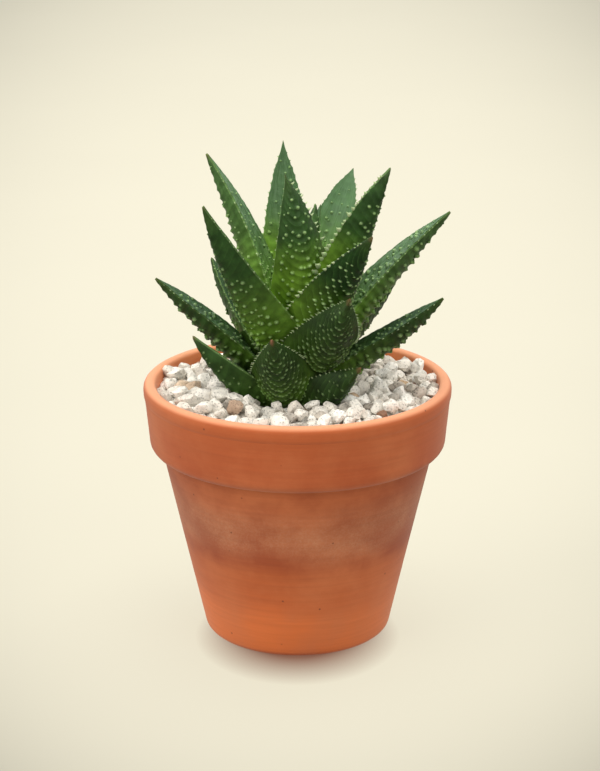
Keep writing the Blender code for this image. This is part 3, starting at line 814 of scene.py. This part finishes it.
aloeSet = {
    "young": [(0.0, "#7d9a38"), (0.3, "#678f3f"), (0.6, "#5c8341"), (0.97, "#507145")],
    "old": [(0.0, "#315417"), (0.25, "#203e12"), (0.55, "#163110"), (0.85, "#1c3713"), (0.97, "#33481f")],
    # pairs are for young and old leaves, and the tip's for a brown and a red one
    # crest: the pale colour along each row, partly the real pale ridge and partly a painted highlight
    "olive": "#2f3f1a", "heart": "#88b536", "crest": ("#84aa5b", "#62804c"), "wax": "#4c6b48",
    "streak": ("#92b08b", "#61806a"), "edge": ("#86a865", "#1f2f14"), "dot": ("#b3d58a", "#93b176"),
    "tooth": "#d5e0b8", "tip": ("#5b4a34", "#84503f"),
    # step: painted light and shade across each row, lightest on its crest and darkest just below it
    "step": [(0.0, "#ffffff"), (0.13, "#cccccc"), (0.45, "#8c8c8c"), (0.80, "#4a4a4a"), (0.92, "#3c3c3c"),
             (1.0, "#ffffff")],
    "patterns": {"broken": (2.38, 2.0, 0.5), "blotch": (4.35, 3.0, 0.5), "cells": (0.385, 2.0, 0.5)},
    "fibreTurns": (12, 7, 9),      # fibres over the breadth, over the length, and from one age to another
}


def aloeSkinMaterial(name, settings):
    # aloe epidermis: a waxy cuticle over green flesh, so it has a soft broad shine and glows a little where
    # the flesh is thin; tubercles and teeth are pale because they hold no green
    material, shader, add, place, noises = startMaterial(name, settings["patterns"])
    read = {layer: add("Attribute", {}, attribute_name=layer).outputs["Fac"] for layer in leafLayers}
    # the oldest leaves have a dark margin, all the others a pale one
    edgeAge = add("MapRange", {0: read["age"], 1: 0.84, 2: 0.93})
    crest, streak, dot, edge, tip = (
        add("Mix", {0: share, 6: settings[part][0], 7: settings[part][1]}, **asColour)
        for part, share in (("crest", read["age"]), ("streak", read["age"]), ("dot", read["age"]),
                            ("edge", edgeAge), ("tip", read["tipRed"])))
    young, old = (add("ValToRGB", {0: read["grow"]}, stops=settings[part]) for part in ("young", "old"))
    near = add("MapRange", {0: read["grow"], 1: 0.62, 2: 0.20, 3: 0.0, 4: 0.85})
    heart = add("Math", {0: near, 1: read["heart"]}, **asProduct)
    # each row of tubercles is a raised step; its colour gets painted light along the crest and painted shade
    # just below it, besides the bump
    fraction = add("Math", {0: read["rowPhase"]}, operation="FRACT")
    step = add("ValToRGB", {0: fraction}, stops=settings["step"])
    paintedRowLightShade = add("MapRange", {0: step, 1: 0.04, 2: 1.0, 3: 0.45, 4: 1.5})
    top = add("MapRange", {0: step, 1: 0.62, 2: 1.0})
    broken = add("MapRange", {0: noises["broken"], 1: 0.4, 2: 0.6, 3: 0.0, 4: 0.5})
    # fibres under the skin run lengthwise
    run = add("CombineXYZ", {0: read["across"], 1: read["grow"], 2: read["age"]})
    run = add("Mapping", {"Vector": run, "Scale": settings["fibreTurns"]})
    fibres = add("TexNoise", {
        "Vector": run, "Scale": 1.0, "Detail": 4.0, "Roughness": 0.65, "Distortion": 0.6})
    fibreGain = add("MapRange", {0: fibres, 1: 0.3, 2: 0.7, 3: 0.80, 4: 1.20})
    blotchGain = add("MapRange", {0: noises["blotch"], 1: 0.35, 2: 0.68, 3: 0.66, 4: 1.22})
    # the upper face is rough and grey, with a bluish wax bloom in streaks, but not near the heart
    streaks = add("MapRange", {0: fibres, 1: 0.42, 2: 0.62})
    wax = layCoats(add, settings["wax"], [([streaks, read["fibre"]], streak, asColour)])
    waxShare = add("MapRange", {0: read["age"], 1: 0.3, 2: 1.0, 3: 0.75, 4: 0.42})
    offHeart = add("MapRange", {0: heart, 1: 0.0, 2: 0.5, 3: 1.0, 4: 0.15})
    # the dry point is longer on a red tip, and ragged where it begins
    tipStart = add("MapRange", {0: read["tipRed"], 3: 0.975, 4: 0.945})
    past = add("Math", {0: read["grow"], 1: tipStart}, operation="SUBTRACT")
    tipShare = add("MapRange", {0: past, 1: 0.0, 2: 0.05, 3: 0.0, 4: 0.9})
    ragged = add("MapRange", {0: noises["broken"], 1: 0.4, 2: 0.6, 3: 0.35, 4: 1.0})
    green = layCoats(add, young, [
        ([read["age"]], old, asColour),
        # the oldest leaves are duller and more olive, and the flesh glows yellow near the heart
        ([read["olive"], 0.4], settings["olive"], asColour),
        ([heart], settings["heart"], asColour),
        # painted shade below each row and painted light on its crest, then the crest colour, partly real and
        # partly a painted highlight
        ([read["rowShow"]], paintedRowLightShade, asFilter),
        ([top, broken, read["rowShow"]], crest, asColour),
        ([read["fibre"]], fibreGain, asFilter),
        ([1.0], blotchGain, asFilter),
        ([read["upper"], waxShare, offHeart], wax, asColour),
        ([read["edge"], 0.35], edge, asColour),
        # tubercles are pale green, teeth almost white
        ([read["pale"], read["dotPale"]], dot, asColour),
        ([read["pale"], read["edge"], read["dotPale"], 0.8], settings["tooth"], asColour),
        ([tipShare, ragged], tip, asColour),
    ])
    relief = add("Bump", {"Height": noises["cells"], "Strength": 0.25, "Distance": 0.05 * mm})
    raised = add("Math", {0: step, 1: read["rowShow"]}, **asProduct)
    relief = add("Bump", {"Height": raised, "Normal": relief, "Strength": 0.8, "Distance": 0.30 * mm})
    rough = add("Math", {0: read["upper"], 1: read["fibre"]}, **asProduct)
    rough = add("Math", {0: fibres, 1: rough}, **asProduct)
    relief = add("Bump", {"Height": rough, "Normal": relief, "Strength": 0.5, "Distance": 0.30 * mm})
    fillInputs(shader, {
        "Base Color": green, "Normal": relief,
        "Roughness": add("MapRange", {0: noises["blotch"], 1: 0.3, 2: 0.7, 3: 0.36, 4: 0.50}),
        "IOR": 1.45, "Specular IOR Level": 0.14, "Subsurface Weight": 0.10,
        "Subsurface Radius": (0.5, 1.0, 0.25), "Subsurface Scale": 1.2 * mm,
    })
    return material


def pieceName(node):
    first, *rest = node.split("_")
    return first + "".join(word.capitalize() for word in rest)


outerSkin = (aloeSkinMaterial("aloeSkinOuter", aloeSet), "outer_leaf_green")
innerSkin = (aloeSkinMaterial("aloeSkinInner", aloeSet), "inner_leaf_green")
for order, (node, leaf) in enumerate(leaves.items()):
    skinAndSlot = outerSkin if order < len(leaves) // 2 else innerSkin
    finishPiece(growLeaf(node, leaf, order), pieceName(node), *skinAndSlot, [node])
bpy.data.meshes.remove(tubercleForm)
bpy.data.meshes.remove(toothForm)
print("leaves grown:", len(leaves))


# stem: short and hidden by the leaf bases

stemSet = {
    "corners": [(0, 48.0, 0), (4.5, 48.0, 0), (5.6, 51.0, 0.6), (5.6, 86.3, 0), (2.2, 122.3, 0),
                (0, 123.3, 0)],
    "steps": 24, "pitch": 1.5, "scar": 0.10 * mm, "scarScale": 500,
    "ringPitch": 4.19,      # mm
    "colours": [(0.0, "#8a7a4c"), (0.5, "#7f9147"), (1.0, "#8fa557")],
}


def stemMaterial(settings):
    # young aloe stem: pale green flesh with tan rings where dry leaves have come off
    material, shader, add, place, _ = startMaterial("aloeStem", {})
    turns = math.tau / 20 * scaleOf(settings["ringPitch"])      # a wave texture runs 20 radians to the unit
    rings = add("TexWave", {"Vector": place, "Scale": turns, "Distortion": 3.0}, bands_direction="Z")
    height = rings.outputs["Fac"]
    fillInputs(shader, {
        "Base Color": add("ValToRGB", {0: height}, stops=settings["colours"]),
        "Normal": add("Bump", {"Height": height, "Strength": 0.5, "Distance": 0.2 * mm}),
        "Roughness": 0.6,
    })
    return material


def makeStem(settings):
    bm = turnedForm(settings["corners"], settings["steps"], settings["pitch"])
    for vert in bm.verts:
        outward = Vector((vert.co.x, vert.co.y, 0))
        if outward.length > 1 * mm:
            stray = noise.noise(vert.co * settings["scarScale"]) * settings["scar"]
            vert.co += outward.normalized() * stray
    finishPiece(bm, "aloeStemPiece", stemMaterial(settings), "stem_green", ["stem"])


makeStem(stemSet)
print("stem set")


# gravel: loose pumice, settled on the soil

gravelSet = {
    "bed": [(5.9, 70.6, 0), (45.6, 70.6, 0), (46.5, 71.9, 0), (47.9, 84.7, 0), (23.5, 84.7, 0),
            (17.0, 80.5, 0), (5.9, 80.5, 0)],
    "steps": 72, "pitch": 2.0, "roughFrom": 80 * mm, "sunk": 0.5 * mm, "rough": 0.4 * mm, "roughScale": 300,
    "count": 940, "seed": 11, "shapes": 16,
    "smallest": 1.10, "largest": 3.2, "sizeSpread": (1.4, 2.1),      # radii in mm
    "wallHeight": 85.2, "dish": 3.4, "dishFrom": 23.5, "dishTo": 17.0,
    # where the stones start: a spiral by the golden angle, which spreads them evenly, then a fall, in mm
    "spiral": (9, 46), "goldenAngle": 2.39996, "drop": (86, 98),
    "passes": 90, "fall": 0.30, "squeeze": 0.94, "push": 0.35,
    "leafGap": 0.85, "wallGap": 0.95, "bedGap": 0.5,      # in stone radii
    "highest": 91.5,     # stones caught on the leaves are left out
    "thickest": 4.0,     # no leaf holds a point deeper than this
    # each stone is a ball pressed flat on several sides, then worn
    "flats": 11, "flatAt": (0.54, 0.82), "lumpScale": 3.1, "lumps": 0.22, "worn": 0.10,
    "longer": 1.36, "broader": (1.05, 1.24), "taller": (0.95, 1.15),
    # the bed's dark colour is painted shade between the stones
    "tilt": 0.7, "tanShare": 0.07, "dust": "#7a7166",
    "white": [(0.0, "#968f85"), (0.10, "#c4bcb1"), (0.28, "#eae5db"), (1.0, "#fdfbf5")],
    "tan": [(0.0, "#7f5640"), (0.3, "#b08a68"), (0.7, "#d3b890"), (1.0, "#c08a50")],
    "patterns": {"patch": (1.92, 5.0, 0.7)}, "bubbleSize": 1.05,      # mm
}


def potInside(height):
    # the inner wall's radius at a height, both in mm, from the pot's own corners
    (top, topHeight, _), (low, lowHeight, _) = potSet["corners"][8:10]
    return low + (top - low) * limited((height - lowHeight) / (topHeight - lowHeight))


def bedHeight(radius):
    # the gravel is dished round the stem, where the lowest leaves lie
    share = (gravelSet["dishFrom"] - radius) / (gravelSet["dishFrom"] - gravelSet["dishTo"])
    return gravelSet["wallHeight"] - gravelSet["dish"] * limited(share)


def plantTree():
    bm = bmesh.new()
    for name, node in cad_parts.items():
        if name.startswith("leaf") or name == "stem":
            bm.from_mesh(node.data)
    bmesh.ops.scale(bm, verts=bm.verts, vec=(1 / mm, 1 / mm, 1 / mm))
    tree = BVHTree.FromBMesh(bm)
    bm.free()
    return tree


def settlePebbles(settings, tree):
    # spheres stand in for the pebbles: they fall, push each other apart, and stay off the pot and the plant
    dice = np.random.default_rng(settings["seed"])
    count = settings["count"]
    size = dice.beta(*settings["sizeSpread"], count)
    radii = settings["smallest"] + (settings["largest"] - settings["smallest"]) * size
    turns = np.arange(count) + dice.uniform(-0.4, 0.4, count)
    ways = turns * settings["goldenAngle"]
    inner, outer = settings["spiral"]
    out = np.sqrt(inner ** 2 + (outer ** 2 - inner ** 2) * (turns + 0.5) / count)
    heights = dice.uniform(*settings["drop"], count)
    places = np.stack([np.cos(ways) * out, np.sin(ways) * out, heights], axis=1)
    itself = np.eye(count) * 99      # keeps a stone from pushing itself
    for _ in range(settings["passes"]):
        places[:, 2] -= settings["fall"]
        for _ in range(2):
            apart = places[:, None] - places[None]
            reach = np.linalg.norm(apart, axis=2) + itself
            overlap = np.clip((radii[:, None] + radii[None]) * settings["squeeze"] - reach, 0, None)
            places += (apart / reach[..., None] * overlap[..., None] * settings["push"]).sum(axis=1)
        for number in range(count):
            spot = Vector(places[number])
            near, normal, _, gap = tree.find_nearest(spot)
            away = spot - near
            inside = away.dot(normal) < 0 and gap < settings["thickest"]
            need = radii[number] * settings["leafGap"]
            if inside or gap < need:
                push = normal if inside or gap < 1e-4 else away / gap
                spot = near + push * need
            flat = math.hypot(spot.x, spot.y)
            limit = potInside(spot.z) - radii[number] * settings["wallGap"]
            if flat > limit:
                spot.x *= limit / flat
                spot.y *= limit / flat
            spot.z = max(spot.z, bedHeight(flat) + radii[number] * settings["bedGap"])
            places[number] = spot
    return places, radii


def pebbleForm(settings, chance):
    bm = bmesh.new()
    bm.verts.layers.float.new("tone")
    bm.verts.layers.float.new("warm")
    bmesh.ops.create_icosphere(bm, subdivisions=2, radius=1.0)
    for _ in range(settings["flats"]):
        way = Vector((chance.gauss(0, 1), chance.gauss(0, 1), chance.gauss(0, 1))).normalized()
        cut = chance.uniform(*settings["flatAt"])
        for vert in bm.verts:
            over = vert.co.dot(way) - cut
            if over > 0:
                vert.co -= way * over
    for vert in bm.verts:
        spot = vert.co * settings["lumpScale"] + Vector((chance.random(), 0, 0))
        vert.co *= 1 + noise.noise(spot) * settings["lumps"]
    bmesh.ops.smooth_vert(
        bm, verts=bm.verts, factor=settings["worn"], use_axis_x=True, use_axis_y=True, use_axis_z=True)
    stretch = (settings["longer"], chance.uniform(*settings["broader"]), chance.uniform(*settings["taller"]))
    bmesh.ops.scale(bm, verts=bm.verts, vec=stretch)
    return meshFrom(bm, "pebbleForm")


def pumiceMaterial(settings):
    # pumice: a glassy foam, chalk white to grey, matt, pitted with small open bubbles that hold shadow and
    # dust; a few stones are stained tan by iron
    material, shader, add, place, noises = startMaterial("loosePumice", settings["patterns"])
    tone, warm = (add("Attribute", {}, attribute_name=layer).outputs["Fac"] for layer in ("tone", "warm"))
    white, tan = (add("ValToRGB", {0: tone}, stops=settings[part]) for part in ("white", "tan"))
    # painted shade: the bed between the stones is painted dark, where shade falls between them
    low = add("MapRange", {0: tone, 1: -1.0, 2: 0.0, 3: 1.0, 4: 0.0})
    bubbles = add("TexVoronoi", {"Vector": place, "Scale": scaleOf(settings["bubbleSize"])})
    pits = add("MapRange", {0: bubbles, 1: 0.14, 2: 0.36, 3: 0.58, 4: 1.0})
    colour = layCoats(add, white, [
        ([warm], tan, asColour),
        ([low], settings["dust"], asColour),
        ([1.0], add("MapRange", {0: noises["patch"], 1: 0.36, 2: 0.62, 3: 0.78, 4: 1.05}), asFilter),
        ([1.0], pits, asFilter),
    ])
    relief = add("Bump", {"Height": pits, "Strength": 0.8, "Distance": 0.35 * mm})
    relief = add("Bump", {"Height": noises["patch"], "Normal": relief, "Strength": 0.9, "Distance": 0.9 * mm})
    fillInputs(shader, {
        "Base Color": colour, "Normal": relief, "Roughness": 0.92, "Specular IOR Level": 0.25,
    })
    return material


def makeGravel(settings):
    chance = random.Random(settings["seed"])
    bm = turnedForm(settings["bed"], settings["steps"], settings["pitch"])
    tone = bm.verts.layers.float.new("tone")
    bm.verts.layers.float.new("warm")
    for vert in bm.verts:
        # the bed is marked so that its colour becomes the painted shade between the stones
        vert[tone] = -1.0
        if vert.co.z > settings["roughFrom"]:
            vert.co.z -= settings["sunk"] + noise.noise(vert.co * settings["roughScale"]) * settings["rough"]
    forms = [pebbleForm(settings, chance) for _ in range(settings["shapes"])]
    places, radii = settlePebbles(settings, plantTree())
    planters = [Planter(bm, form) for form in forms]
    for place, radius in zip(places, radii):
        if place[2] > settings["highest"]:
            continue
        turn = Matrix.Rotation(chance.uniform(0, math.tau), 4, "Z")
        turn = Matrix.Rotation(chance.uniform(-settings["tilt"], settings["tilt"]), 4, "X") @ turn
        warm = chance.uniform(0.5, 1.0) if chance.random() < settings["tanShare"] else 0.0
        planter = chance.choice(planters)
        planter.put(Vector(place) * mm, [axis[:3] for axis in (turn * (radius * mm)).transposed()[:3]], {
            "tone": chance.random() ** 0.8, "warm": warm or chance.uniform(0, 0.15)})
    for planter in planters:
        planter.done()
    for form in forms:
        bpy.data.meshes.remove(form)
    finishPiece(bm, "pumiceGravel", pumiceMaterial(settings), "pumice", ["gravel"], sharpAngle=32)


makeGravel(gravelSet)
print("gravel settled")
